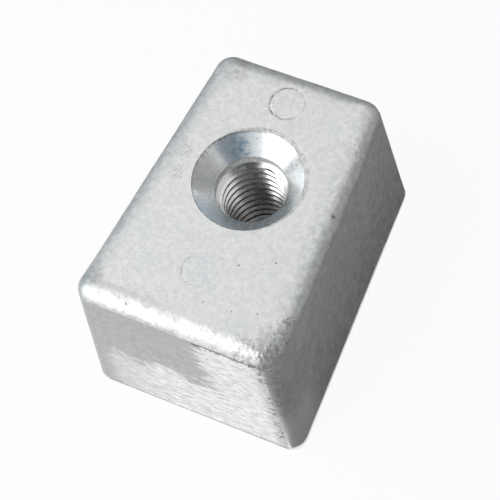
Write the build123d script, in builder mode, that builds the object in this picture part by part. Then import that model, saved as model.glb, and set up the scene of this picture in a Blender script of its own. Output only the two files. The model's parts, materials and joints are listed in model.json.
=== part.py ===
from build123d import *

import math
import os

# A sacrificial anode for a boat's outboard drive: one solid block of cast zinc.
# The block is a wedge in plan, wide at its near end (-Y) and narrow at its far end (+Y),
# and every side leans in with the mould's draft. A machined and threaded hole takes one bolt.
# The origin is the middle of the foot, +Z points up and sizes are millimetres.

# Cast block
LENGTH = 43.6
NEAR_WIDTH = 32.5
FAR_WIDTH = 26.5
HEIGHT = 25.1
DRAFT_DEG = 3.0
CORNER_RADIUS = 2.4
TOP_RADIUS = 1.9

# The near end is ground flat after casting, which leaves a crisp line under the rounded edge
GRIND_DEPTH = 0.12

# Threaded hole, tapped right through; the bore is drawn at the crests of the thread
HOLE_X = 0.2
HOLE_Y = 3.05
THREAD_CREST_RADIUS = 4.25
THREAD_ROOT_RADIUS = 5.0
LEAD_IN_RADIUS = 4.95
LEAD_IN_DEPTH = 1.2
COUNTERSINK_RADIUS = 7.7
COUNTERSINK_ANGLE_DEG = 90.0

# Shallow dish that is cast round the hole, a little out of centre with the machined cone
DISH_RADIUS = 7.85
DISH_SLOPE_DEG = 17.0
DISH_OFFSET_X = 0.27
DISH_OFFSET_Y = 0.26

# Round marks that the ejector pins leave in the top face
PIN_RADIUS = 2.4
PIN_X = 0.1
FAR_PIN_Y = 15.5
FAR_PIN_DEPTH = 0.12
NEAR_PIN_Y = -11.4
NEAR_PIN_DEPTH = 0.05

# What follows from the sizes above
side_turn = math.atan2((NEAR_WIDTH - FAR_WIDTH) / 2, LENGTH)
cast_length = LENGTH + GRIND_DEPTH
cast_near_width = NEAR_WIDTH + 2 * GRIND_DEPTH * math.tan(side_turn)
end_lean = HEIGHT * math.tan(math.radians(DRAFT_DEG))
cone_depth = (COUNTERSINK_RADIUS - LEAD_IN_RADIUS) / math.tan(math.radians(COUNTERSINK_ANGLE_DEG / 2))
lead_in_floor = HEIGHT - cone_depth - LEAD_IN_DEPTH
exit_chamfer = THREAD_ROOT_RADIUS - THREAD_CREST_RADIUS
dish_depth = DISH_RADIUS * math.tan(math.radians(DISH_SLOPE_DEG))
hole_centre = (HOLE_X, HOLE_Y, 0)
dish_centre = (HOLE_X + DISH_OFFSET_X, HOLE_Y + DISH_OFFSET_Y, 0)

with BuildPart() as anode:
    # Wedge-shaped foot, drawn up to the top face with the mould's draft
    with BuildSketch():
        with BuildLine():
            Polyline(
                (-cast_near_width / 2, LENGTH / 2 - cast_length),
                (cast_near_width / 2, LENGTH / 2 - cast_length),
                (FAR_WIDTH / 2, LENGTH / 2),
                (-FAR_WIDTH / 2, LENGTH / 2),
                close=True,
            )
        make_face()
    extrude(amount=HEIGHT, taper=DRAFT_DEG)

    # Upright corners first, then the rounded edge all round the top
    upright_edges = anode.edges().filter_by(lambda edge: abs(edge.tangent_at(0.5).Z) > 0.9)
    fillet(upright_edges, CORNER_RADIUS)
    fillet(anode.faces().sort_by(Axis.Z)[-1].edges(), TOP_RADIUS)

    # Ground near end: a slice along the leaning end face
    with BuildSketch(Plane.YZ.offset(-NEAR_WIDTH)):
        with BuildLine():
            Polyline(
                (-LENGTH / 2 - 2 * GRIND_DEPTH, 0),
                (-LENGTH / 2, 0),
                (-LENGTH / 2 + end_lean, HEIGHT),
                (-LENGTH / 2 + end_lean - 2 * GRIND_DEPTH, HEIGHT),
                close=True,
            )
        make_face()
    extrude(amount=2 * NEAR_WIDTH, mode=Mode.SUBTRACT)

    # Cast dish round the hole
    with BuildSketch(Plane(origin=dish_centre, x_dir=(1, 0, 0), z_dir=(0, -1, 0))):
        with BuildLine():
            Polyline((0, HEIGHT), (DISH_RADIUS, HEIGHT), (0, HEIGHT - dish_depth), close=True)
        make_face()
    revolve(axis=Axis(dish_centre, (0, 0, 1)), mode=Mode.SUBTRACT)

    # Machined cone, plain lead-in, bore and the small chamfer where the thread leaves the foot
    with BuildSketch(Plane(origin=hole_centre, x_dir=(1, 0, 0), z_dir=(0, -1, 0))):
        with BuildLine():
            Polyline(
                (0, HEIGHT),
                (COUNTERSINK_RADIUS, HEIGHT),
                (LEAD_IN_RADIUS, HEIGHT - cone_depth),
                (LEAD_IN_RADIUS, lead_in_floor),
                (THREAD_CREST_RADIUS, lead_in_floor),
                (THREAD_CREST_RADIUS, exit_chamfer),
                (THREAD_ROOT_RADIUS, 0),
                (0, 0),
                close=True,
            )
        make_face()
    revolve(axis=Axis(hole_centre, (0, 0, 1)), mode=Mode.SUBTRACT)

    # Ejector pin marks
    for pin_y, pin_depth in ((FAR_PIN_Y, FAR_PIN_DEPTH), (NEAR_PIN_Y, NEAR_PIN_DEPTH)):
        with Locations((PIN_X, pin_y, HEIGHT)):
            Cylinder(
                PIN_RADIUS,
                pin_depth,
                align=(Align.CENTER, Align.CENTER, Align.MAX),
                mode=Mode.SUBTRACT,
            )

anode.part.label = "anode_block"

os.makedirs("parts", exist_ok=True)
export_step(anode.part, "parts/anode_block.step")
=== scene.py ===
import json
import math

import bmesh
import bpy
import numpy as np
from mathutils import Matrix, Vector, noise


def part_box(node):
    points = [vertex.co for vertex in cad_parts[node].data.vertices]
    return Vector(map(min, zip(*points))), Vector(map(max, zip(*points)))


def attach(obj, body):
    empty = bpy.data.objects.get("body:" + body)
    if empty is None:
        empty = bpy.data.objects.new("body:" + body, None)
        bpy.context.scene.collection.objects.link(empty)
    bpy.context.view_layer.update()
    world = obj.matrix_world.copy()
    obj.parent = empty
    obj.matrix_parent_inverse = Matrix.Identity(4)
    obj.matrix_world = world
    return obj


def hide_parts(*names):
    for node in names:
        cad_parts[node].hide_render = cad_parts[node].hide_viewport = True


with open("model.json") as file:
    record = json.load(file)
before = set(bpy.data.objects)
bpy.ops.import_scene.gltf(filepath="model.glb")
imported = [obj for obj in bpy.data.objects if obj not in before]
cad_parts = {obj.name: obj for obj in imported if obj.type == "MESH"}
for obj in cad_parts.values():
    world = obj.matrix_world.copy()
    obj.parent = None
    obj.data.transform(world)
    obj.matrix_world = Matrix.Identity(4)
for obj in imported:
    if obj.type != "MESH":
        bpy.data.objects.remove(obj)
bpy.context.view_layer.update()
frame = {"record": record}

# Looks of a cast zinc anode block: one closed mesh that stands for the CAD solid, with the real
# thread, the uneven cast edges and the ground near end, then its materials, light and camera.
# Sizes are metres, +Z runs up the threaded hole and +Y along the block towards its narrow end.
MM = 0.001
cad_low, cad_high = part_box("anode_block")

# Cast block, as in the CAD source
LENGTH = cad_high.y - cad_low.y
HEIGHT = cad_high.z
NEAR_WIDTH = 32.5 * MM
FAR_WIDTH = 26.5 * MM
DRAFT = math.tan(math.radians(3.0))

# The CAD's upright corners, of 2.4 mm, are a little rounder where a level plane cuts them
CORNER_RADIUS = 2.45 * MM

# The near end is ground flat, which cuts off its right corner and the foot of its rounded top edge
GRIND_DEPTH = 0.12 * MM
GRIND_TURN = math.acos(1 - GRIND_DEPTH / CORNER_RADIUS)

# How far the rounded top edge reaches in over the top face and down the side
NEAR_EDGE_LEFT = (2.6 * MM, 1.6 * MM)
NEAR_EDGE_RIGHT = (2.6 * MM, 2.5 * MM)
RIGHT_EDGE_NEAR_END = (1.5 * MM, 2.0 * MM)
RIGHT_EDGE_FAR_END = (1.5 * MM, 2.4 * MM)
FAR_EDGE = (2.4 * MM, 2.1 * MM)
LEFT_EDGE = (2.3 * MM, 2.0 * MM)
LARGEST_CORNER_REACH = 2.1 * MM

# How far the cast right side stands out at its top edge; this fades out to its foot and its two corners
RIGHT_SIDE_CROWN = 0.35 * MM

# Hole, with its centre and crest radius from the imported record
bolt_hole = next(mount for mount in frame["record"]["mounts"] if mount["name"] == "bolt_hole")
HOLE_CENTRE = np.array(bolt_hole["pos_m"][:2])
THREAD_CREST_RADIUS = bolt_hole["dims"]["r_mm"] * MM
THREAD_ROOT_RADIUS = 5.0 * MM
THREAD_PITCH = 1.5 * MM
THREAD_START_TURN = 0.02
LEAD_IN_RADIUS = 4.95 * MM
LEAD_IN_DEPTH = 1.2 * MM
DRILL_POINT_SLOPE = math.tan(math.radians(31))
CONE_RADIUS = 7.7 * MM
DISH_RADIUS = 7.85 * MM
DISH_SLOPE = math.tan(math.radians(17))
DISH_OFFSET = np.array([0.27, 0.26]) * MM
cone_floor = HEIGHT - (CONE_RADIUS - LEAD_IN_RADIUS)
lead_in_floor = cone_floor - LEAD_IN_DEPTH

# The levels and centres that relief and shading need, in millimetres
TOP_Z = HEIGHT / MM
CONE_FLOOR_Z = cone_floor / MM
LEAD_IN_FLOOR_Z = lead_in_floor / MM
HOLE_X, HOLE_Y = HOLE_CENTRE / MM
DISH_X, DISH_Y = (HOLE_CENTRE + DISH_OFFSET) / MM

# Ejector pin marks in the top face, in millimetres: place, depth of the disc and of its groove
PIN_RADIUS = 2.4
PIN_GROOVE_WIDTH = 0.13
FAR_PIN = (0.1, 15.5, 0.03, 0.17)
NEAR_PIN = (0.1, -11.4, 0.02, 0.05)

# Marks on the top face and its edges, in millimetres: x, y and radius
GAS_PITS = [
    (13.0, 2.3, 0.27), (4.6, -8.9, 0.15), (9.0, -6.8, 0.15), (2.1, -8.8, 0.11), (2.6, -15.4, 0.13),
    (-6.8, -19.3, 0.16), (9.9, -14.3, 0.14), (6.6, -15.2, 0.1),
]
CRUMBLY_PATCHES = [(-10.0, 4.2, 2.3), (-9.3, 0.6, 1.9), (12.0, 12.3, 1.6)]
CRUMBLY_CORNER = [(10.2, -19.2, 2.8), (13.6, -17.4, 4.2)]
PITTED_SPOTS = [(14.2, -13.9, 1.1), (14.0, -16.1, 1.2), (13.8, -18.1, 1.2)]
STAINED_CORNERS = [(13.2, -19.4, 3.6), (-8.8, 17.8, 2.4), (-12.6, -17.2, 1.8)]

# Outline of the top face in millimetres: half its width at y 0, how fast that shrinks, and its far end
TOP_SIDE_X = 13.43
TOP_SIDE_SLOPE = 0.0688
TOP_FAR_Y = 20.48

# Where the line of painted shade lies on the top and the near edge's smudges begin, in millimetres
SHADE_LINE_Y = -17.9
NEAR_BAND_Y = -17.8

# Painted blue reflection on the cone, in millimetres: x, y and reach
BLUE_REFLECTION_SPOT = (-3.5, 7.6, 2.1)

# Part of the near end that the grinding missed: its lower and right borders, in millimetres
PATCH_FOOT_HEIGHT = 11.9
PATCH_FOOT_SLOPE = 0.128
PATCH_SIDE_X = 5.2
PATCH_SIDE_SLOPE = 0.1

# Borders of the ground end in millimetres: its top line, from left to right, and its right line, upwards
GROUND_TOP_Z = 23.38
GROUND_TOP_START_X = 2.0
GROUND_TOP_SLOPE = 0.024
GROUND_RIGHT_X = 14.46
GROUND_RIGHT_SLOPE = 0.052

# Colours
SKIN_LIGHT = (0.79, 0.80, 0.78)
SKIN_DARK = (0.69, 0.70, 0.69)
SKIN_BLUE = (0.65, 0.685, 0.71)
# Stain colour, also used for painted shade
SKIN_STAIN_AND_SHADE = (0.36, 0.36, 0.35)
SKIN_PAINTED_LIGHT = (0.94, 0.94, 0.93)
EDGE_BLUE = (0.36, 0.40, 0.43)
# Dark of pits and specks, also used for painted shade and a painted dark reflection
PIT_AND_SHADE_COLOUR = (0.16, 0.155, 0.15)
METAL_LIGHT = (0.79, 0.80, 0.79)
METAL_TARNISH = (0.69, 0.73, 0.75)
METAL_BLUE_REFLECTION = (0.30, 0.42, 0.52)
METAL_PAINTED_REFLECTION = (0.68, 0.77, 0.81)
LEAD_IN_GREY = (0.90, 0.90, 0.89)
LEAD_IN_DARK = (0.58, 0.58, 0.57)
THREAD_LIGHT = (0.74, 0.74, 0.73)
THREAD_PAINTED_LIGHT = (0.95, 0.95, 0.94)
SLOPE_GREY = (0.47, 0.475, 0.47)
THREAD_DEPTH_SHADE = (0.30, 0.295, 0.29)
PATCH_LIGHT = (0.51, 0.52, 0.515)
PATCH_DARK = (0.42, 0.43, 0.43)
CORNER_SHADE_GREY = (0.44, 0.445, 0.445)
SANDED_LIGHT = (0.94, 0.95, 0.945)
SANDED_DARK = (0.55, 0.56, 0.56)

# Share of white in the floor's looks; none within this many millimetres of the hole's axis, so that
# no white shows through the bore
FLOOR_WHITE = 0.93
BORE_VIEW_RADIUS = 10.0

# Camera, as fitted to the photo
CAMERA_PLACE = (0.09078, -0.10429, 0.265139)
CAMERA_FORWARD = (-0.31414, 0.35858, -0.87905)
CAMERA_UP = (-0.32612, 0.82883, 0.45463)
CAMERA_LENS = 151.2
CAMERA_CARD_PLACE = Vector((0.125, -0.16, 0.30))

# Mesh: samples along each side and round each corner, and where the ground-off corner starts
SIDE_SAMPLES = {"near": 80, "right": 76, "far": 56, "left": 76}
CORNER_SAMPLES = 12
GROUND_CORNER_SAMPLES = 4
GROUND_CORNER_PLACE = 0.95

# Mesh: rows of each zone; those of the sides lie closer under the rounded edge
CONE_ROWS = 8
TOP_ROWS = 34
EDGE_ROWS = 12
SIDE_ROW_SHARES = np.concatenate([(0.007, 0.015), np.linspace(0.035, 1, 38)])
FOOT_ROWS = 6
THREAD_ROW_SHARES = (0.0, 0.08, 0.22, 0.37, 0.44, 0.5, 0.66, 0.71, 0.78, 0.93)

# Mesh: numbers of its materials, and the bends from which an edge is crisp inside one or between two
CAST, MACHINED, GROUND = 0, 1, 2
CRISP_BEND = math.radians(34)
CRISP_BORDER_BEND = math.radians(10)


def side_normals_and_reaches():
    """Outward normal of each side in plan, and how far from the origin its foot line lies."""
    turn = math.atan2((NEAR_WIDTH - FAR_WIDTH) / 2, LENGTH)
    side_reach = (NEAR_WIDTH + FAR_WIDTH) / 4 * math.cos(turn)
    normals = {
        "near": (0.0, -1.0),
        "right": (math.cos(turn), math.sin(turn)),
        "far": (0.0, 1.0),
        "left": (-math.cos(turn), math.sin(turn)),
    }
    reaches = {"near": LENGTH / 2, "right": side_reach, "far": LENGTH / 2, "left": side_reach}
    return normals, reaches


def corner_centres(normals, reaches, inset):
    """Centre in plan of the rounded corner before each side."""
    names = list(normals)
    centres = []
    for number, name in enumerate(names):
        before = names[number - 1]
        rows = np.array([normals[before], normals[name]])
        offsets = np.array([reaches[before], reaches[name]]) - inset - CORNER_RADIUS
        if before == "near":
            offsets[0] += GRIND_DEPTH
        centres.append(np.linalg.solve(rows, offsets))
    return centres


def outline(inset):
    """Rounded outline in plan, moved in by inset, counterclockwise from the near left corner.

    Returns the points, their outward normals, and how far round each one is: side number plus share."""
    normals, reaches = side_normals_and_reaches()
    names = list(normals)
    centres = corner_centres(normals, reaches, inset)
    points, outward, place = [], [], []
    for number, name in enumerate(names):
        normal = np.array(normals[name])
        following = normals[names[(number + 1) % 4]]
        corner = centres[(number + 1) % 4]
        first = math.atan2(normal[1], normal[0])
        turn = (math.atan2(following[1], following[0]) - first) % (2 * math.pi)
        if name == "near":
            first += GRIND_TURN
            turn -= GRIND_TURN
        start = centres[number] + normal * CORNER_RADIUS
        end = corner + normal * (CORNER_RADIUS - (GRIND_DEPTH if name == "near" else 0.0))
        for share in np.arange(SIDE_SAMPLES[name]) / SIDE_SAMPLES[name]:
            points.append(start + (end - start) * share)
            outward.append(normal)
            place.append(number + share * (GROUND_CORNER_PLACE if name == "near" else 1.0))
        if name == "near":
            for share in np.arange(GROUND_CORNER_SAMPLES) / GROUND_CORNER_SAMPLES:
                angle = GRIND_TURN * share
                points.append(end + (CORNER_RADIUS * math.sin(angle), 0.0))
                outward.append((math.sin(angle), -math.cos(angle)))
                place.append(GROUND_CORNER_PLACE + (1 - GROUND_CORNER_PLACE) * share)
        for share in np.arange(CORNER_SAMPLES) / CORNER_SAMPLES:
            angle = first + turn * share
            direction = np.array([math.cos(angle), math.sin(angle)])
            points.append(corner + direction * CORNER_RADIUS)
            outward.append(direction)
            place.append(number + 1.0)
    return np.array(points), np.array(outward), np.array(place)


def lift(points, z):
    """Points in plan, each at its height."""
    return np.column_stack([points, np.broadcast_to(z, len(points))])


def polar(angles, radius, z):
    """A ring round the hole's axis."""
    directions = np.column_stack([np.cos(angles), np.sin(angles)])
    return lift(HOLE_CENTRE + directions * np.broadcast_to(radius, len(angles))[:, None], z)


def edge_reach(place):
    """How far the rounded edge reaches in over the top, and down the side, at each outline point."""
    knots = [
        (0.0, (LARGEST_CORNER_REACH, 1.6 * MM)),
        (0.15, NEAR_EDGE_LEFT),
        (0.45, NEAR_EDGE_LEFT),
        (0.6, NEAR_EDGE_RIGHT),
        (0.8, NEAR_EDGE_RIGHT),
        (GROUND_CORNER_PLACE, (1.7 * MM, 2.2 * MM)),
        (1.0, (1.65 * MM, 2.0 * MM)),
        (1.12, RIGHT_EDGE_NEAR_END),
        (1.85, RIGHT_EDGE_FAR_END),
        (2.0, (2.0 * MM, 2.4 * MM)),
        (2.12, FAR_EDGE),
        (2.88, FAR_EDGE),
        (3.0, (LARGEST_CORNER_REACH, 2.0 * MM)),
        (3.1, LEFT_EDGE),
        (3.9, LEFT_EDGE),
        (4.0, (LARGEST_CORNER_REACH, 1.6 * MM)),
    ]
    places, reaches = zip(*knots)
    return [np.interp(place, places, reach) for reach in zip(*reaches)]


def side_crown(place):
    """How far the side stands out past its plane at the top edge, at each outline point."""
    return np.interp(place, (1.0, 1.15, 1.8, 2.0), (0.0, RIGHT_SIDE_CROWN, RIGHT_SIDE_CROWN, 0.0))


def edge_cut(place):
    """How far the rounded edge would stand out past the ground end, had it not been ground off."""
    along_edge = np.interp(place, (0.5, 0.6), (0.0, 1.0))
    round_corner = np.clip((place - GROUND_CORNER_PLACE) / (1 - GROUND_CORNER_PLACE), 0, 1)
    return GRIND_DEPTH * along_edge * (1 - round_corner**2)


def thread_radius(angles, z):
    """Wall radius of the right-hand thread, whose flanks lean 30 degrees, with its run-outs."""
    turn = z / THREAD_PITCH - angles / (2 * math.pi) + THREAD_START_TURN
    share = turn - np.floor(turn)
    shares = [0.0, 0.08, 0.37, 0.44, 0.66, 0.71, 1.0]
    crest, root = THREAD_CREST_RADIUS, THREAD_ROOT_RADIUS
    shape = [root, root, crest + 0.03 * MM, crest, crest, crest + 0.03 * MM, root]
    profile = np.interp(share, shares, shape)
    drill_point = LEAD_IN_RADIUS - (lead_in_floor - z) / DRILL_POINT_SLOPE
    exit_chamfer = THREAD_ROOT_RADIUS - z
    radius = np.maximum(np.maximum(profile, drill_point), exit_chamfer)
    return np.where(z >= lead_in_floor, LEAD_IN_RADIUS, radius)


def thread_grid(angles):
    """Rows that follow the helix, clamped between the foot and the lead-in."""
    rows = []
    first_turn = -2 - THREAD_START_TURN
    turns = math.ceil(lead_in_floor / THREAD_PITCH) + 3
    for turn in range(turns):
        for share in THREAD_ROW_SHARES:
            z = (first_turn + turn + share + angles / (2 * math.pi)) * THREAD_PITCH
            z = np.clip(z, 0.0, lead_in_floor)
            rows.append(polar(angles, thread_radius(angles, z), z))
    return np.array(rows)


def machined_edge_radius(angles):
    """Distance from the hole's axis at which the 45 degree cone meets the dish or the top face."""
    directions = np.column_stack([np.cos(angles), np.sin(angles)])
    radius = np.full(len(angles), CONE_RADIUS)
    for _ in range(30):
        from_dish = np.linalg.norm(directions * radius[:, None] - DISH_OFFSET, axis=1)
        radius = CONE_RADIUS - np.maximum(0.0, DISH_RADIUS - from_dish) * DISH_SLOPE
    return radius


def dish_rim_radius(angles):
    """Distance from the hole's axis to the dish's rim in each direction."""
    directions = np.column_stack([np.cos(angles), np.sin(angles)])
    along = directions @ DISH_OFFSET
    return along + np.sqrt(along**2 + DISH_RADIUS**2 - DISH_OFFSET @ DISH_OFFSET)


def hole_rows(angles):
    """Rows from the lead-in's floor up to the cone's edge, then over the cast lip to the dish's rim."""
    edge = machined_edge_radius(angles)
    edge_z = HEIGHT - (CONE_RADIUS - edge)
    rim = np.maximum(dish_rim_radius(angles), edge + 0.04 * MM)
    rows = [polar(angles, LEAD_IN_RADIUS, z) for z in np.linspace(lead_in_floor, cone_floor, 4)]
    for share in np.linspace(0, 1, CONE_ROWS + 1)[1:]:
        radius = LEAD_IN_RADIUS + (edge - LEAD_IN_RADIUS) * share
        rows.append(polar(angles, radius, cone_floor + (edge_z - cone_floor) * share))
    rows.append(polar(angles, (edge + rim) / 2, (edge_z + HEIGHT) / 2))
    rows.append(polar(angles, rim, HEIGHT))
    return rows


def body_grid(angles):
    """Rows from the lead-in's floor up the cone, over the top, down the sides and in along the foot.

    With them come the numbers of the rows that end the machined metal, the top and the sides."""
    rows = hole_rows(angles)
    rim_ring = rows[-1]
    zones = {"hole": len(rows) - 3}

    corner_line, outward, place = outline(HEIGHT * DRAFT)
    over_top, down_side = edge_reach(place)
    cut = edge_cut(place)
    crown = side_crown(place)
    corner_line = corner_line + outward * crown[:, None]
    last_angle = np.arcsin(1 - cut / over_top)
    inner = lift(corner_line - outward * (over_top - cut)[:, None], HEIGHT)
    for share in np.linspace(0, 1, TOP_ROWS + 1)[1:]:
        rows.append(rim_ring + (inner - rim_ring) * share)
    for share in np.linspace(0, 1, EDGE_ROWS + 1)[1:]:
        drop = down_side * (1 - np.cos(last_angle * share))
        pull = over_top * (1 - np.sin(last_angle * share)) - cut - drop * (DRAFT - crown / HEIGHT)
        rows.append(lift(corner_line - outward * pull[:, None], HEIGHT - drop))
    zones["top"] = len(rows) - 1

    side_top = HEIGHT - drop
    foot_line = outline(0)[0]
    slide = (outline(MM)[0] - foot_line) / MM
    for share in SIDE_ROW_SHARES:
        z = side_top * (1 - share)
        lean = slide * (z * DRAFT)[:, None] + outward * (crown * z / HEIGHT)[:, None]
        rows.append(lift(foot_line + lean, z))
    foot_ring = rows[-1]
    zones["sides"] = len(rows) - 1
    exit_ring = polar(angles, THREAD_ROOT_RADIUS, 0.0)
    for share in np.linspace(0, 1, FOOT_ROWS + 1)[1:]:
        rows.append(foot_ring * (1 - share) + exit_ring * share)
    return np.array(rows), zones


def body_faces(row_count, zones, place):
    """Faces between the body's rows, and the material of each one."""
    count = len(place)
    faces, materials = [], []
    for row in range(row_count - 1):
        low, high = row * count, (row + 1) * count
        for sample in range(count):
            following = (sample + 1) % count
            faces.append((low + sample, high + sample, high + following, low + following))
            if row < zones["hole"]:
                materials.append(MACHINED)
            elif zones["top"] <= row < zones["sides"] and place[sample] < 1.0:
                materials.append(GROUND)
            else:
                materials.append(CAST)
    return faces, materials


def thread_faces(row_count, count, base):
    """Faces between the thread's rows; the end of a row joins the start of the row one turn up."""
    end = base + row_count * count
    faces = []
    for row in range(row_count - 1):
        low, high = base + row * count, base + (row + 1) * count
        for sample in range(count):
            following = sample + 1 if sample + 1 < count else len(THREAD_ROW_SHARES) * count
            if high + following < end:
                faces.append((low + sample, high + sample, high + following, low + following))
    return faces


def build_mesh():
    """The block's closed mesh: both grids joined, then given their marks, relief and crisp edges."""
    corner_line, _, place = outline(HEIGHT * DRAFT)
    from_hole = corner_line - HOLE_CENTRE
    angles = np.unwrap(np.arctan2(from_hole[:, 1], from_hole[:, 0]))
    body, zones = body_grid(angles)
    thread = thread_grid(angles)
    vertices = np.concatenate([body.reshape(-1, 3), thread.reshape(-1, 3)])
    faces, materials = body_faces(len(body), zones, place)
    in_thread = thread_faces(len(thread), len(angles), len(body) * len(angles))

    mesh = bpy.data.meshes.new("cast_block")
    mesh.from_pydata(vertices.tolist(), [], faces + in_thread)
    mesh.polygons.foreach_set("material_index", materials + [MACHINED] * len(in_thread))
    edit = bmesh.new()
    edit.from_mesh(mesh)
    bmesh.ops.remove_doubles(edit, verts=edit.verts, dist=0.0005 * MM)
    bmesh.ops.dissolve_degenerate(edit, edges=edit.edges, dist=0.0004 * MM)
    loose = [vertex for vertex in edit.verts if not vertex.link_faces]
    bmesh.ops.delete(edit, geom=loose, context="VERTS")
    refine_marks(edit)
    roughen_skin(edit)
    sharpen_edges(edit)
    edit.to_mesh(mesh)
    edit.free()
    return mesh


def smooth_share(value, low, high):
    """0 at low, 1 at high and smooth between them."""
    share = min(1.0, max(0.0, (value - low) / (high - low)))
    return share * share * (3 - 2 * share)


def around_zero(value, width):
    """1 at zero, falling off to nothing within about twice the width."""
    return math.exp(-((value / width) ** 2))


def below_ground_top(x, z):
    """How far a point of the near end lies below the ground zone's top line, in millimetres."""
    return GROUND_TOP_Z - GROUND_TOP_SLOPE * (x - GROUND_TOP_START_X) - z


def beyond_ground_right(x, z):
    """How far a point of the near end lies right of the ground zone's right line, in millimetres."""
    return x - GROUND_RIGHT_X + GROUND_RIGHT_SLOPE * z


def needs_fine_faces(x, y, z):
    """Whether the face at this place, in millimetres, carries a mark that is finer than itself."""
    on_top = z > TOP_Z - 0.02
    on_edge = z > TOP_Z - 3
    for pin_x, pin_y, _, _ in (FAR_PIN, NEAR_PIN):
        if on_top and 1.7 < math.hypot(x - pin_x, y - pin_y) < PIN_RADIUS + 0.45:
            return True
    for pit_x, pit_y, radius in GAS_PITS:
        if on_edge and math.hypot(x - pit_x, y - pit_y) < radius + 0.3:
            return True
    if on_edge and x > 8 and y < -17:
        return True
    on_near_end = y < -LENGTH / 2 / MM + 1.4 and z < TOP_Z - 1.2
    along_top_line = x > GROUND_TOP_START_X and abs(below_ground_top(x, z)) < 0.5
    along_right_line = abs(beyond_ground_right(x, z)) < 0.5 and z > 0.6
    return on_near_end and (along_top_line or along_right_line)


def refine_marks(edit):
    """Smaller faces where the pin marks, pits, ground lines and crumbled corner come."""
    edges = set()
    for face in edit.faces:
        if face.material_index != MACHINED and needs_fine_faces(*(face.calc_center_median() / MM)):
            edges.update(face.edges)
    bmesh.ops.subdivide_edges(edit, edges=list(edges), cuts=1, use_grid_fill=True)


def pin_depth(x, y, pin):
    """Depth of an ejector pin's mark: a low disc inside a groove that is deepest on its left."""
    pin_x, pin_y, disc_depth, groove_depth = pin
    away = math.hypot(x - pin_x, y - pin_y)
    if away > PIN_RADIUS + 1:
        return 0.0
    side = 0.5 - 0.5 * math.cos(math.atan2(y - pin_y, x - pin_x) - 0.15)
    worn = smooth_share(noise.noise((x * 0.9, y * 0.9, 4.0)), -0.45, 0.1)
    groove = around_zero(away - PIN_RADIUS, PIN_GROOVE_WIDTH) * groove_depth * (0.25 + 0.75 * side) * worn
    disc = smooth_share(away, PIN_RADIUS, PIN_RADIUS - 0.3) * disc_depth
    return groove + disc


def pit_depth(x, y):
    """Depth of the gas pits."""
    depth = 0.0
    for pit_x, pit_y, radius in GAS_PITS:
        share = math.hypot(x - pit_x, y - pit_y) / radius
        depth = max(depth, radius * 0.9 * (1 - share * share))
    return depth


def skin_depth(x, y, z, ground):
    """How far the real skin lies below its smooth form, in millimetres."""
    wave = 0.5 + 0.5 * noise.noise((x * 0.33, y * 0.33, z * 0.33))
    pebble = 0.5 + 0.5 * noise.noise((x * 1.25 + 9, y * 1.25, z * 1.25))
    flat_top = smooth_share(z, TOP_Z - 0.12, TOP_Z - 0.01)
    depth = wave * (0.06 - 0.035 * flat_top) + pebble * (0.035 - 0.025 * flat_top)
    if ground:
        depth *= 0.35
        ragged = noise.noise((x * 1.1, 3.0, z * 1.1))
        top_line = around_zero(below_ground_top(x, z) - 0.12, 0.14)
        top_line *= smooth_share(x, GROUND_TOP_START_X - 0.5, GROUND_TOP_START_X + 2)
        right_line = around_zero(beyond_ground_right(x, z) + 0.15, 0.16)
        depth += max(top_line, right_line) * max(0.0, 0.09 + 0.12 * ragged)
    if z > TOP_Z - 3:
        depth += pit_depth(x, y)
        corner = smooth_share(x, 8, 10.5) * smooth_share(-y, 17, 18.6)
        crumbs = max(0.0, noise.noise((x * 2.4, y * 2.4, z * 2.4 + 5)))
        depth += 0.13 * corner * crumbs
    if flat_top > 0.5:
        depth += pin_depth(x, y, FAR_PIN) + pin_depth(x, y, NEAR_PIN)
    return depth


def roughen_skin(edit):
    """Moves the cast skin inward by its relief, and leaves the machined metal and the foot alone."""
    edit.normal_update()
    moves = []
    for vertex in edit.verts:
        kinds = {face.material_index for face in vertex.link_faces}
        if MACHINED in kinds or vertex.co.z < 0.01 * MM:
            continue
        x, y, z = vertex.co / MM
        depth = skin_depth(x, y, z, kinds == {GROUND}) * smooth_share(z, 0, 0.8)
        moves.append((vertex, vertex.normal * depth * MM))
    for vertex, move in moves:
        vertex.co -= move


def sharpen_edges(edit):
    """Smooth faces, with a crisp line where they bend steeply, or less so between two materials."""
    for face in edit.faces:
        face.smooth = True
    for edge in edit.edges:
        first, second = edge.link_faces
        bend = first.normal.angle(second.normal, 0.0)
        border = first.material_index != second.material_index
        edge.smooth = bend < (CRISP_BORDER_BEND if border else CRISP_BEND)


def add_object(name, data):
    """An object in the scene for a mesh, a lamp or a camera."""
    thing = bpy.data.objects.new(name, data)
    bpy.context.scene.collection.objects.link(thing)
    return thing


block = add_object("cast_block", build_mesh())
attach(block, "root")
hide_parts("anode_block")


def plug(tree, socket, value):
    """Gives an input a fixed value, or joins it to another node's output."""
    if isinstance(value, bpy.types.NodeSocket):
        tree.links.new(value, socket)
    else:
        socket.default_value = value


def math_node(tree, operation, *values):
    node = tree.nodes.new("ShaderNodeMath")
    node.operation = operation
    for socket, value in zip(node.inputs, values):
        plug(tree, socket, value)
    return node.outputs[0]


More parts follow.
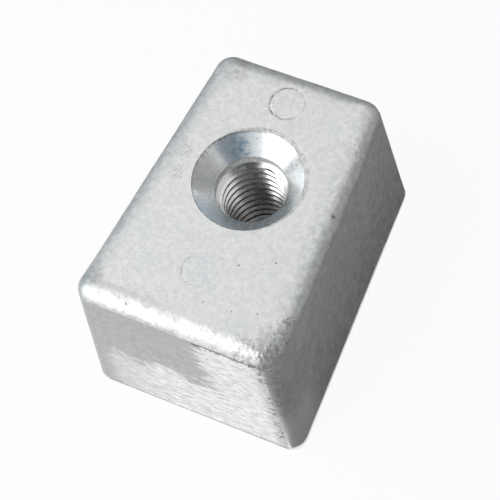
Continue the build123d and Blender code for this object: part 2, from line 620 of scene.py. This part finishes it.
class Shade:
    """One material's node tree, with short calls for the nodes that it needs.

    Places are in millimetres, so a noise of scale 2 has features of about half a millimetre."""

    def __init__(self, name):
        self.material = bpy.data.materials.new(name)
        self.material.use_nodes = True
        self.tree = self.material.node_tree
        self.shader = self.tree.nodes["Principled BSDF"]
        place = self.tree.nodes.new("ShaderNodeTexCoord").outputs["Object"]
        self.place = self.vector("MULTIPLY", place, (1 / MM, 1 / MM, 1 / MM))
        split = self.tree.nodes.new("ShaderNodeSeparateXYZ")
        self.tree.links.new(self.place, split.inputs[0])
        self.x, self.y, self.z = split.outputs
        self.plan = self.vector("MULTIPLY", self.place, (1, 1, 0))

    def vector(self, operation, *values):
        node = self.tree.nodes.new("ShaderNodeVectorMath")
        node.operation = operation
        for socket, value in zip(node.inputs, values):
            plug(self.tree, socket, value)
        return node.outputs["Value" if operation == "DISTANCE" else "Vector"]

    def math(self, operation, *values):
        return math_node(self.tree, operation, *values)

    def times(self, first, *others):
        """The product of all values."""
        product = first
        for value in others:
            product = self.math("MULTIPLY", product, value)
        return product

    def linear(self, value, slope, start):
        return self.math("MULTIPLY_ADD", value, slope, start)

    def apart(self, first, second):
        """How far two values lie apart."""
        return self.math("ABSOLUTE", self.math("SUBTRACT", first, second))

    def away_from(self, x, y):
        """Distance in plan from the upright line at x and y."""
        return self.vector("DISTANCE", self.plan, (x, y, 0))

    def between(self, value, low, high, bottom=0.0, top=1.0):
        """bottom where value is at low, top where it is at high, and smooth between them."""
        node = self.tree.nodes.new("ShaderNodeMapRange")
        node.interpolation_type = "SMOOTHSTEP"
        names = ("Value", "From Min", "From Max", "To Min", "To Max")
        for name, given in zip(names, (value, low, high, bottom, top)):
            plug(self.tree, node.inputs[name], given)
        return node.outputs["Result"]

    def noise(self, scale, detail, roughness, stretch=(1, 1, 1), shift=0.0):
        node = self.tree.nodes.new("ShaderNodeTexNoise")
        moved = self.vector("ADD", self.vector("MULTIPLY", self.place, stretch), (shift, shift, shift))
        self.tree.links.new(moved, node.inputs["Vector"])
        node.inputs["Scale"].default_value = scale
        node.inputs["Detail"].default_value = detail
        node.inputs["Roughness"].default_value = roughness
        return node.outputs["Fac"]

    def blend(self, share, first, second):
        """The first colour, going over to the second as share rises from 0 to 1."""
        node = self.tree.nodes.new("ShaderNodeMix")
        node.data_type = "RGBA"
        plug(self.tree, node.inputs[0], share)
        for socket, colour in zip(node.inputs[6:8], (first, second)):
            plug(self.tree, socket, colour if isinstance(colour, bpy.types.NodeSocket) else (*colour, 1))
        return node.outputs[2]

    def blend_value(self, share, first, second):
        """The first value, going over to the second as share rises from 0 to 1."""
        node = self.tree.nodes.new("ShaderNodeMix")
        plug(self.tree, node.inputs[0], share)
        plug(self.tree, node.inputs[2], first)
        plug(self.tree, node.inputs[3], second)
        return node.outputs[0]

    def bump(self, height, depth):
        """Relief whose height runs from 0 to 1 over depth, in millimetres."""
        node = self.tree.nodes.new("ShaderNodeBump")
        node.inputs["Distance"].default_value = depth * MM
        self.tree.links.new(height, node.inputs["Height"])
        self.tree.links.new(node.outputs[0], self.shader.inputs["Normal"])

    def surface(self, colour, roughness, metallic):
        plug(self.tree, self.shader.inputs["Base Color"], colour)
        plug(self.tree, self.shader.inputs["Roughness"], roughness)
        plug(self.tree, self.shader.inputs["Metallic"], metallic)
        return self.material


def near_any(shade, spots, inner, outer):
    """1 within inner times a spot's radius, 0 beyond outer times it. A spot is x, y and radius.

    It is 0 all over the sides, below the top edges."""
    found = 0.0
    for x, y, radius in spots:
        away = shade.math("DIVIDE", shade.away_from(x, y), radius)
        found = shade.math("MAXIMUM", found, shade.between(away, outer, inner))
    return shade.times(found, shade.between(shade.z, TOP_Z - 2.4, TOP_Z - 1.6))


def skin_tones(shade, mottle, on_top):
    """The skin's own colour: fine mottle, bluish clouds, dark blotches and stained corners."""
    colour = shade.blend(shade.between(mottle, 0.32, 0.68), SKIN_DARK, SKIN_LIGHT)
    clouds = shade.between(shade.noise(0.3, 3, 0.5), 0.5, 0.72, 0, 0.35)
    colour = shade.blend(clouds, colour, SKIN_BLUE)
    blotches = shade.between(shade.noise(0.7, 5, 0.65, shift=53), 0.34, 0.66, 0.36, 0)
    blotches = shade.times(blotches, shade.between(on_top, 0, 1, 1, 0.1))
    colour = shade.blend(blotches, colour, SKIN_STAIN_AND_SHADE)
    stained = shade.between(mottle, 0.35, 0.65, 0.6, 0.2)
    stained = shade.times(near_any(shade, STAINED_CORNERS, 0.4, 1.0), stained)
    return shade.blend(stained, colour, SKIN_STAIN_AND_SHADE)


def near_pin_tint(shade, mottle):
    """Share of the tint on the near pin's uneven disc, which is weaker in light mottle."""
    ragged = shade.noise(1.1, 3, 0.6, shift=67)
    away = shade.linear(ragged, 2.4, shade.away_from(NEAR_PIN[0], NEAR_PIN[1]))
    return shade.times(shade.between(away, 3.9, 3.0), shade.between(mottle, 0.62, 0.4, 0.1, 0.8))


def dark_specks(shade, on_top):
    """Share of dark specks, which are thick in crumbly places, and of stained streaks on the sides."""
    specks = shade.noise(3.3, 3, 0.6, shift=31)
    crumbly = near_any(shade, CRUMBLY_PATCHES, 0.3, 1.0)
    broken = near_any(shade, CRUMBLY_CORNER, 0.3, 1.0)
    speck_start = shade.between(shade.math("MAXIMUM", crumbly, broken), 0, 1, 0.7, 0.46)
    dark = shade.between(shade.math("SUBTRACT", specks, speck_start), 0, 0.14, 0, 0.48)
    crumbs = shade.between(shade.noise(1.9, 5, 0.75, shift=71), 0.5, 0.6, 0, 0.8)
    dark = shade.math("MAXIMUM", dark, shade.times(crumbs, broken))
    streaks = shade.noise(1.3, 4, 0.65, stretch=(1, 1, 0.35), shift=37)
    low = shade.between(shade.linear(shade.z, 0.008, streaks), 0.6, 0.34, 0, 0.42)
    return shade.math("MAXIMUM", dark, shade.times(low, shade.between(on_top, 0, 1, 1, 0)))


def near_right_pits(shade, colour):
    """Dark pits along the broken line of the near-right corner, and specks down its upright edge."""
    pitted = shade.between(shade.noise(1.9, 4, 0.7, shift=109), 0.5, 0.58, 0, 0.65)
    pitted = shade.times(pitted, near_any(shade, PITTED_SPOTS, 0.4, 1.2))
    colour = shade.blend(pitted, colour, PIT_AND_SHADE_COLOUR)
    upright = shade.times(
        shade.between(shade.y, -17.6, -19.2),
        shade.between(shade.x, 12.2, 13.2),
        shade.between(shade.z, 3, 16, 0.4, 1),
        shade.between(shade.noise(1.9, 4, 0.7, shift=101), 0.5, 0.6, 0, 0.6),
    )
    return shade.blend(upright, colour, SKIN_STAIN_AND_SHADE)


def near_edge_smudges(shade):
    """Share of the dark smudges on the rounded near edge."""
    return shade.times(
        shade.between(shade.noise(1.5, 5, 0.7, shift=97), 0.48, 0.66, 0, 0.45),
        shade.between(shade.y, NEAR_BAND_Y, NEAR_BAND_Y - 1),
        shade.between(shade.z, TOP_Z - 2.2, TOP_Z - 1.6),
    )


def inside_top_sides(shade):
    """How far a place lies inside the long sides of the top face, in millimetres."""
    side_x = shade.linear(shade.y, -TOP_SIDE_SLOPE, TOP_SIDE_X)
    return shade.math("SUBTRACT", side_x, shade.math("ABSOLUTE", shade.x))


def blotched_and_shaded_edges(shade, colour):
    """Blotches, partly real and partly painted shade, along the right, far and left top edges, and a
    faint line of painted shade before the near one.
    """
    inside = shade.math("MINIMUM", inside_top_sides(shade), shade.math("SUBTRACT", TOP_FAR_Y, shade.y))
    by_edge = shade.times(
        shade.between(inside, 3.8, 0.8),
        shade.between(shade.z, TOP_Z - 3.2, TOP_Z - 2),
        shade.between(shade.y, -18.5, -16),
    )
    blue = shade.between(shade.noise(0.35, 5, 0.6, shift=89), 0.44, 0.66, 0, 0.6)
    colour = shade.blend(shade.times(blue, by_edge), colour, SKIN_BLUE)
    # The dark blotches are partly painted shade on these edges, which face away from the light
    blotches = shade.between(shade.noise(1.0, 5, 0.68, shift=61), 0.38, 0.64, 0, 0.42)
    colour = shade.blend(shade.times(blotches, by_edge), colour, SKIN_STAIN_AND_SHADE)
    # Painted shade in a faint line where the top turns into the near edge
    away = shade.linear(blotches, 1.2, shade.apart(shade.y, SHADE_LINE_Y))
    shade_line = shade.times(shade.between(away, 1.1, 0.2), shade.between(shade.x, 1, -5), 0.28)
    return shade.blend(shade_line, colour, SKIN_STAIN_AND_SHADE)


def left_edge_film_and_reflection(shade):
    """Share of the bluish tone on the left top edge, partly patina and partly a painted dark reflection,
    which is strongest at its near end.
    """
    inside = inside_top_sides(shade)
    return shade.times(
        shade.between(shade.noise(0.8, 5, 0.65, shift=73), 0.38, 0.6, 0.45, 1),
        shade.between(shade.y, -13, -18, 0.62, 1),
        shade.between(shade.x, -9, -10),
        shade.between(inside, 3.1, 1.0),
        shade.between(inside, -0.2, 1.0, 0.35, 1),
        shade.between(shade.z, TOP_Z - 3.2, TOP_Z - 2),
    )


def low_corners(shade, colour):
    """Painted shade on the near-left corner below its top edge, and painted light low on the right side
    by the near-right corner.
    """
    # Painted shade on the rounded edge of the near-left corner
    low_left = shade.times(
        shade.between(shade.x, -11.4, -12.2),
        shade.between(shade.y, -18, -19.5),
        shade.between(shade.z, TOP_Z - 1.4, TOP_Z - 2.4),
    )
    colour = shade.blend(low_left, colour, CORNER_SHADE_GREY)
    # Painted light low on the right side, near its near corner
    painted_lit_side = shade.times(
        shade.between(shade.y, -12, -17),
        shade.between(shade.z, 14, 5),
        shade.between(shade.x, 10, 12, 0, 0.8),
    )
    return shade.blend(painted_lit_side, colour, SKIN_PAINTED_LIGHT)


def pin_dirt_and_shade(shade, pin):
    """Dirt and painted shade in an ejector pin's groove, most of it on the left, where the groove is
    deepest.
    """
    return shade.times(
        shade.between(shade.apart(shade.away_from(pin[0], pin[1]), PIN_RADIUS), 0.2, 0.04),
        shade.between(shade.noise(1.9, 2, 0.6, shift=41), 0.36, 0.56),
        shade.between(shade.x, pin[0] + PIN_RADIUS, pin[0] - PIN_RADIUS, 0.25, 1.0),
    )


def cast_skin():
    """Dull cast zinc: mottled and stained, with crumbly places, gas pits, dirt and worn edges."""
    shade = Shade("cast_skin")
    mottle = shade.noise(1.7, 5, 0.65, shift=7)
    on_top = shade.between(shade.z, TOP_Z - 1.2, TOP_Z - 0.1)
    dark = dark_specks(shade, on_top)
    colour = skin_tones(shade, mottle, on_top)
    colour = shade.blend(shade.times(near_pin_tint(shade, mottle), on_top), colour, SKIN_BLUE)
    colour = shade.blend(dark, colour, SKIN_STAIN_AND_SHADE)
    colour = near_right_pits(shade, colour)
    colour = shade.blend(near_edge_smudges(shade), colour, SKIN_STAIN_AND_SHADE)
    # Blotches and painted shade on the right, far and left top edges, and a line of painted shade on the
    # top
    colour = blotched_and_shaded_edges(shade, colour)
    # Bluish patina with a painted dark reflection on the left top edge
    colour = shade.blend(left_edge_film_and_reflection(shade), colour, EDGE_BLUE)
    # Painted shade on the near-left corner, and painted light low on the right side
    colour = low_corners(shade, colour)
    # Dirt and painted shade in the pin grooves, and painted shade in the gas pits
    faint_groove_dark = shade.times(pin_dirt_and_shade(shade, NEAR_PIN), 0.35)
    groove_dark = shade.times(shade.math("MAXIMUM", pin_dirt_and_shade(shade, FAR_PIN), faint_groove_dark), on_top)
    groove_and_pit_shade = shade.math("MAXIMUM", groove_dark, near_any(shade, GAS_PITS, 0.6, 1.15))
    colour = shade.blend(shade.times(groove_and_pit_shade, 0.8), colour, PIT_AND_SHADE_COLOUR)
    at_foot = shade.between(shade.z, 0.7, 0.25, 0, 0.6)
    colour = shade.blend(at_foot, colour, METAL_LIGHT)
    # Painted shade on the cast dish round the cone
    dish_rim = DISH_RADIUS / MM
    dish_shade = shade.times(
        shade.between(shade.away_from(DISH_X, DISH_Y), dish_rim + 0.08, dish_rim - 0.12),
        shade.between(mottle, 0.38, 0.6, 0.75, 0.35),
        on_top,
    )
    colour = shade.blend(dish_shade, colour, SKIN_STAIN_AND_SHADE)

    pebbles = shade.noise(1.25, 2, 0.5, shift=13)
    grain = shade.noise(3.6, 2, 0.55, shift=19)
    height = shade.linear(grain, 0.35, pebbles)
    height = shade.linear(mottle, 0.3, height)
    height = shade.linear(dark, -0.15, height)
    shade.bump(height, 0.055)
    return shade.surface(colour, shade.between(mottle, 0.3, 0.7, 0.56, 0.44), 0.9)


def thread_tones(shade, colour, in_thread):
    """Thread with painted light on its right, greyer on its run-out, and painted shade that darkens it
    lower down in the bore.
    """
    # Painted light on the thread's right side
    on_right = shade.between(shade.x, HOLE_X + 0.6, HOLE_X + 2.4)
    colour = shade.blend(in_thread, colour, shade.blend(on_right, THREAD_LIGHT, THREAD_PAINTED_LIGHT))
    on_slope = shade.between(shade.z, LEAD_IN_FLOOR_Z - 0.8, LEAD_IN_FLOOR_Z - 0.4, 0, 0.6)
    colour = shade.blend(shade.times(on_slope, in_thread), colour, SLOPE_GREY)
    # Painted shade deeper down the bore
    return shade.blend(shade.between(shade.z, LEAD_IN_FLOOR_Z - 4, 5, 0, 0.85), colour, THREAD_DEPTH_SHADE)


def cone_rim_shade(shade, scratches):
    """Share of the painted shade in an uneven line round the cone's edge, which fades out on the right.
    """
    dish_middle = TOP_Z - DISH_RADIUS / MM * DISH_SLOPE
    dish_z = shade.linear(shade.away_from(DISH_X, DISH_Y), DISH_SLOPE, dish_middle)
    below_rim = shade.math("SUBTRACT", shade.math("MINIMUM", dish_z, TOP_Z), shade.z)
    below_rim = shade.linear(shade.math("SUBTRACT", scratches, 0.5), 0.6, below_rim)
    line = shade.between(below_rim, 0.22, 0.02, 0, 0.8)
    return shade.times(line, shade.between(shade.x, 2, 5.5, 1, 0.1))


def blue_reflection(shade, tarnish):
    """Share of the blotchy painted blue reflection on the cone."""
    away = shade.linear(tarnish, 5.0, shade.away_from(BLUE_REFLECTION_SPOT[0], BLUE_REFLECTION_SPOT[1]))
    blotches = shade.between(shade.noise(1.5, 5, 0.7, shift=79), 0.42, 0.58, 0.05, 1)
    return shade.times(shade.between(away, 2.5 + BLUE_REFLECTION_SPOT[2], 2.5), blotches)


def lead_in_tones(shade, colour, in_lead_in):
    """Dull lead-in with darker oxide, with a painted dark reflection at its right end and painted shade
    along the line where the cone starts.
    """
    oxide = shade.between(shade.noise(2.6, 4, 0.65, shift=107), 0.4, 0.56)
    colour = shade.blend(in_lead_in, colour, shade.blend(oxide, LEAD_IN_DARK, LEAD_IN_GREY))
    # Painted dark reflection on the lead-in's right end
    on_right = shade.between(shade.x, HOLE_X + 4.3, HOLE_X + 4.8, 0, 0.9)
    colour = shade.blend(shade.times(in_lead_in, on_right), colour, PIT_AND_SHADE_COLOUR)
    # Painted shade along the line where the cone starts
    cone_start_shade = shade.between(shade.apart(shade.z, CONE_FLOOR_Z - 0.05), 0.12, 0.04, 0, 0.8)
    return shade.blend(cone_start_shade, colour, SKIN_STAIN_AND_SHADE)


def machined():
    """Turned and tapped metal round the hole: fine tool lines, faint tarnish and specks, with painted
    shade at its rim and in the lead-in, and painted reflections on the cone and lead-in.
    """
    shade = Shade("machined")
    wobble = shade.noise(0.8, 3, 0.55)
    scratches = shade.noise(1.9, 3, 0.6, shift=3)
    tarnish = shade.noise(0.5, 4, 0.6, shift=11)
    in_thread = shade.between(shade.z, LEAD_IN_FLOOR_Z + 0.1, LEAD_IN_FLOOR_Z - 0.1)
    below_cone = shade.between(shade.z, CONE_FLOOR_Z + 0.05, CONE_FLOOR_Z - 0.1)
    in_lead_in = shade.math("SUBTRACT", below_cone, in_thread)
    # Painted reflection on the cone's near half: a bluish tone, and less metallic
    near_half = shade.linear(shade.x, -0.35, shade.y)
    near_half = shade.between(near_half, HOLE_Y - 1, HOLE_Y - 5)
    near_reflection = shade.times(near_half, shade.between(shade.z, CONE_FLOOR_Z, CONE_FLOOR_Z + 0.1))

    colour = shade.blend(shade.between(tarnish, 0.42, 0.66), METAL_LIGHT, METAL_TARNISH)
    colour = shade.blend(near_reflection, colour, METAL_PAINTED_REFLECTION)
    colour = thread_tones(shade, colour, in_thread)
    specks = shade.between(shade.noise(2.2, 1, 0.5, shift=23), 0.68, 0.75, 0, 0.6)
    colour = shade.blend(specks, colour, SKIN_STAIN_AND_SHADE)
    # Painted shade round the cone's edge
    colour = shade.blend(cone_rim_shade(shade, scratches), colour, SKIN_STAIN_AND_SHADE)
    # Painted blue reflection on the cone
    colour = shade.blend(blue_reflection(shade, tarnish), colour, METAL_BLUE_REFLECTION)
    colour = lead_in_tones(shade, colour, in_lead_in)
    roughness = shade.between(scratches, 0.3, 0.7, 0.19, 0.28)
    roughness = shade.blend_value(in_lead_in, roughness, 0.5)
    metallic = shade.blend_value(in_lead_in, shade.blend_value(near_reflection, 0.9, 0.7), 0.05)

    radians_per_mm = 21
    from_axis = shade.math("ADD", shade.away_from(HOLE_X, HOLE_Y), wobble)
    tool_lines = shade.math("SINE", shade.times(from_axis, radians_per_mm))
    height = shade.linear(tool_lines, 0.1, wobble)
    height = shade.linear(scratches, 0.15, height)
    shade.bump(height, 0.008)
    return shade.surface(colour, roughness, metallic)


def ground_share(shade, ragged, fine):
    """1 where the grinding took off the cast face of the near end, and 0 in the patch that it missed."""
    uneven = shade.linear(ragged, 12.0, shade.linear(fine, 7.0, -9.5))
    foot_line = shade.linear(shade.x, PATCH_FOOT_SLOPE, PATCH_FOOT_HEIGHT)
    wave = shade.between(shade.noise(0.3, 2, 0.5, shift=83), 0.35, 0.65, -1.3, 1.3)
    below = shade.math("SUBTRACT", shade.math("ADD", foot_line, wave), shade.z)
    below = shade.math("ADD", below, uneven)
    right_line = shade.linear(shade.z, -PATCH_SIDE_SLOPE, PATCH_SIDE_X)
    beside = shade.math("SUBTRACT", shade.x, right_line)
    beside = shade.linear(uneven, 0.7, beside)
    return shade.times(
        shade.math("MAXIMUM", shade.between(below, -1.6, 1.9), shade.between(beside, -1.2, 1.4)),
        shade.between(shade.x, -13.6, -10.8),
        shade.between(shade.x, -13, -1, 0.5, 1),
    )


def ground_top_shade(shade, specks):
    """Share of the painted shade along the step at the right part of the ground zone's top, made uneven
    by specks.
    """
    line_start = GROUND_TOP_Z + GROUND_TOP_SLOPE * GROUND_TOP_START_X
    line_z = shade.linear(shade.x, -GROUND_TOP_SLOPE, line_start)
    below = shade.math("SUBTRACT", line_z, shade.z)
    below = shade.linear(shade.math("SUBTRACT", specks, 0.5), 0.5, below)
    line = shade.between(shade.apart(below, 0.1), 0.24, 0.08, 0, 0.9)
    return shade.times(line, shade.between(shade.x, GROUND_TOP_START_X - 0.5, GROUND_TOP_START_X + 2))


def ground_end():
    """The near end: ground along the block's width, except where the cast face lies too deep."""
    shade = Shade("ground_end")
    streaks = shade.noise(1.0, 5, 0.75, stretch=(0.65, 1, 3.4), shift=5)
    fine = shade.noise(1.0, 4, 0.65, stretch=(1.1, 1, 9), shift=17)
    ragged = shade.noise(1.0, 4, 0.65, stretch=(0.35, 1, 1.4), shift=29)
    mottle = shade.noise(1.4, 5, 0.6, shift=7)
    specks = shade.noise(1.9, 3, 0.6, shift=43)
    ground = ground_share(shade, ragged, fine)

    skin = shade.blend(shade.between(mottle, 0.3, 0.7), PATCH_DARK, PATCH_LIGHT)
    bright = shade.blend(shade.between(streaks, 0.38, 0.58), SANDED_DARK, SANDED_LIGHT)
    bright = shade.blend(shade.between(fine, 0.58, 0.72, 0, 0.6), bright, SANDED_DARK)
    colour = shade.blend(ground, skin, bright)
    right_end = shade.linear(shade.z, GROUND_RIGHT_SLOPE, shade.x)
    right_end = shade.between(right_end, GROUND_RIGHT_X - 2.2, GROUND_RIGHT_X - 0.6)
    colour = shade.blend(shade.times(right_end, 0.7), colour, SANDED_DARK)
    right_end = shade.times(right_end, shade.between(ragged, 0.42, 0.58))
    top_end = shade.between(shade.z, GROUND_TOP_Z - 1.2, GROUND_TOP_Z - 0.2)
    top_end = shade.times(top_end, shade.between(shade.x, 1, 4))
    dirty = shade.math("MAXIMUM", right_end, top_end)
    dark = shade.between(shade.linear(dirty, 0.26, specks), 0.66, 0.76, 0, 0.85)
    # Painted shade along the foot, where the near end meets the floor
    at_foot = shade.between(shade.z, 0.4, 0.1, 0, 0.7)
    dark = shade.math("MAXIMUM", dark, at_foot)
    # Painted shade along the step at the ground zone's top
    dark = shade.math("MAXIMUM", dark, ground_top_shade(shade, specks))
    colour = shade.blend(dark, colour, PIT_AND_SHADE_COLOUR)

    height = shade.linear(fine, 0.4, streaks)
    height = shade.times(height, shade.between(ground, 0, 1, 0.2, 1))
    height = shade.linear(dark, -0.6, height)
    shade.bump(height, 0.045)
    return shade.surface(colour, shade.between(ground, 0, 1, 0.5, 0.4), 0.9)


# In the order of CAST, MACHINED and GROUND
for make in (cast_skin, machined, ground_end):
    block.data.materials.append(make())


def aim(thing, place, target):
    """Puts a lamp or card at its place, facing the target."""
    thing.location = place
    thing.rotation_mode = "QUATERNION"
    thing.rotation_quaternion = (Vector(target) - Vector(place)).to_track_quat("-Z", "Y")


def around(azimuth, elevation, distance):
    """A place round the block: azimuth 0 lies towards -Y and turns towards +X."""
    turn, rise = math.radians(azimuth), math.radians(elevation)
    along = math.cos(rise)
    return Vector((math.sin(turn) * along, -math.cos(turn) * along, math.sin(rise))) * distance


def add_lamp(name, place, size, power):
    data = bpy.data.lights.new(name, "AREA")
    data.shape = "RECTANGLE"
    data.size, data.size_y = size
    data.energy = power
    aim(add_object(name, data), place, (0, 0, HEIGHT / 2))


def add_sheet(name, width, height, level=0.0):
    """A flat level rectangle round the origin."""
    x, y = width / 2, height / 2
    mesh = bpy.data.meshes.new(name)
    mesh.from_pydata([(-x, -y, level), (x, -y, level), (x, y, level), (-x, y, level)], [], [(0, 1, 2, 3)])
    return add_object(name, mesh)


def seen_directly(tree):
    """1 for what the camera, a glossy reflection or a clear material sees, and 0 for soft light."""
    paths = tree.nodes.new("ShaderNodeLightPath").outputs
    seen = math_node(tree, "MAXIMUM", paths["Is Camera Ray"], paths["Is Glossy Ray"])
    return math_node(tree, "MAXIMUM", seen, paths["Is Transmission Ray"])


def mix_shaders(tree, share, first, second):
    """The first shader, going over to the second as share rises from 0 to 1."""
    mix = tree.nodes.new("ShaderNodeMixShader")
    for socket, source in zip(mix.inputs, (share, first, second)):
        tree.links.new(source, socket)
    return mix.outputs[0]


def add_floor():
    """Pale floor that takes the block's shadow, and that the camera sees nearly white."""
    shade = Shade("pale_floor")
    shade.surface((0.9, 0.9, 0.9, 1), 0.9, 0.0)
    shade.shader.inputs["Specular IOR Level"].default_value = 0.0
    white = shade.tree.nodes.new("ShaderNodeEmission")
    white.inputs["Color"].default_value = (1, 1, 1, 1)
    outside = shade.math("GREATER_THAN", shade.away_from(HOLE_X, HOLE_Y), BORE_VIEW_RADIUS)
    share = shade.times(seen_directly(shade.tree), outside, FLOOR_WHITE)
    mixed = mix_shaders(shade.tree, share, shade.shader.outputs[0], white.outputs[0])
    shade.tree.links.new(mixed, shade.tree.nodes["Material Output"].inputs["Surface"])
    floor = add_sheet("floor", 4.0, 4.0, level=-0.02 * MM)
    floor.data.materials.append(shade.material)


def light_world():
    """Soft even light that the camera and reflections see as white."""
    world = bpy.data.worlds.new("studio")
    bpy.context.scene.world = world
    world.use_nodes = True
    tree = world.node_tree
    tree.nodes.clear()
    shaders = []
    for colour, strength in (((0.97, 0.98, 1.0, 1), 0.4), ((1, 1, 1, 1), 1.0)):
        background = tree.nodes.new("ShaderNodeBackground")
        background.inputs["Color"].default_value = colour
        background.inputs["Strength"].default_value = strength
        shaders.append(background.outputs[0])
    output = tree.nodes.new("ShaderNodeOutputWorld")
    tree.links.new(mix_shaders(tree, seen_directly(tree), *shaders), output.inputs["Surface"])


def add_camera():
    data = bpy.data.cameras.new("camera")
    data.sensor_width = 36.0
    data.lens = CAMERA_LENS
    data.clip_start = 0.01
    data.clip_end = 20.0
    camera = add_object("camera", data)
    forward = Vector(CAMERA_FORWARD).normalized()
    right = forward.cross(Vector(CAMERA_UP)).normalized()
    up = right.cross(forward)
    turn = Matrix((right, up, -forward)).transposed()
    camera.matrix_world = Matrix.Translation(CAMERA_PLACE) @ turn.to_4x4()
    bpy.context.scene.camera = camera


def add_card(name, place, size, colour, end_colour=None, shares=(0.0, 1.0), target=(0, 0, 0)):
    """A grey card that only the block's gloss sees, as a photographer sets round bare metal.

    An end colour takes over between two shares of its width, in the direction of rising azimuth."""
    card = add_sheet(name, *size)
    aim(card, place, target)
    card.visible_camera = False
    card.visible_diffuse = False
    card.visible_shadow = False
    material = bpy.data.materials.new(name)
    material.use_nodes = True
    tree = material.node_tree
    tree.nodes.clear()
    across = tree.nodes.new("ShaderNodeSeparateXYZ")
    tree.links.new(tree.nodes.new("ShaderNodeTexCoord").outputs["Generated"], across.inputs[0])
    ramp = tree.nodes.new("ShaderNodeValToRGB")
    ramp.color_ramp.interpolation = "EASE"
    for element, share, tone in zip(ramp.color_ramp.elements, shares, (colour, end_colour or colour)):
        element.position = share
        element.color = (*tone, 1)
    tree.links.new(across.outputs[0], ramp.inputs[0])
    glow = tree.nodes.new("ShaderNodeEmission")
    tree.links.new(ramp.outputs[0], glow.inputs["Color"])
    output = tree.nodes.new("ShaderNodeOutputMaterial")
    tree.links.new(glow.outputs[0], output.inputs["Surface"])
    card.data.materials.append(material)


def add_table_card(name, low, high, colour, height):
    """A card that lies just above the floor, from its low corner to its high one in plan."""
    middle = ((low[0] + high[0]) / 2, (low[1] + high[1]) / 2, height)
    size = (high[0] - low[0], high[1] - low[1])
    add_card(name, middle, size, colour, target=(middle[0], middle[1], 1))


add_floor()
light_world()
add_lamp("key", around(-44, 38, 0.45), (0.50, 0.42), 1.5)
add_card(
    "dark_card", around(29, 26, 0.40), (0.82, 0.30),
    colour=(0.95, 0.98, 1.0), end_colour=(0.17, 0.22, 0.26), shares=(0.25, 0.68),
)
add_card(
    "camera_card", CAMERA_CARD_PLACE, (0.37, 0.34),
    colour=(0.02, 0.02, 0.02), end_colour=(0.30, 0.30, 0.30), shares=(0.35, 0.8),
    target=CAMERA_CARD_PLACE - Vector((0, 0, 1)),
)
add_card("pale_card", around(-80, 17, 0.50), (0.30, 0.22), (0.74, 0.78, 0.79))
add_card("right_card", around(118, 14, 0.45), (0.62, 0.30), (0.38, 0.375, 0.37))
add_card("back_card", around(195, 15, 0.50), (0.60, 0.34), (0.22, 0.235, 0.25))
add_card("left_card", around(-122, 14, 0.50), (0.46, 0.26), (0.74, 0.77, 0.80))
add_card("low_left_card", around(-74, 3, 0.48), (0.34, 0.09), (0.24, 0.26, 0.27))
add_table_card("front_table_card", (-0.024, -0.07), (0.0148, -0.0205), (1.02, 1.02, 1.02), 0.0006)
add_table_card("right_table_card", (0.010, -0.32), (0.042, 0.20), (0.125, 0.125, 0.12), 0.0005)
add_table_card("far_right_table_card", (0.042, -0.32), (0.31, 0.20), (0.55, 0.55, 0.54), 0.0005)
add_table_card("back_table_card", (-0.20, 0.012), (0.20, 0.32), (0.28, 0.29, 0.30), 0.0003)
add_camera()
bpy.context.scene.view_settings.view_transform = "Standard"
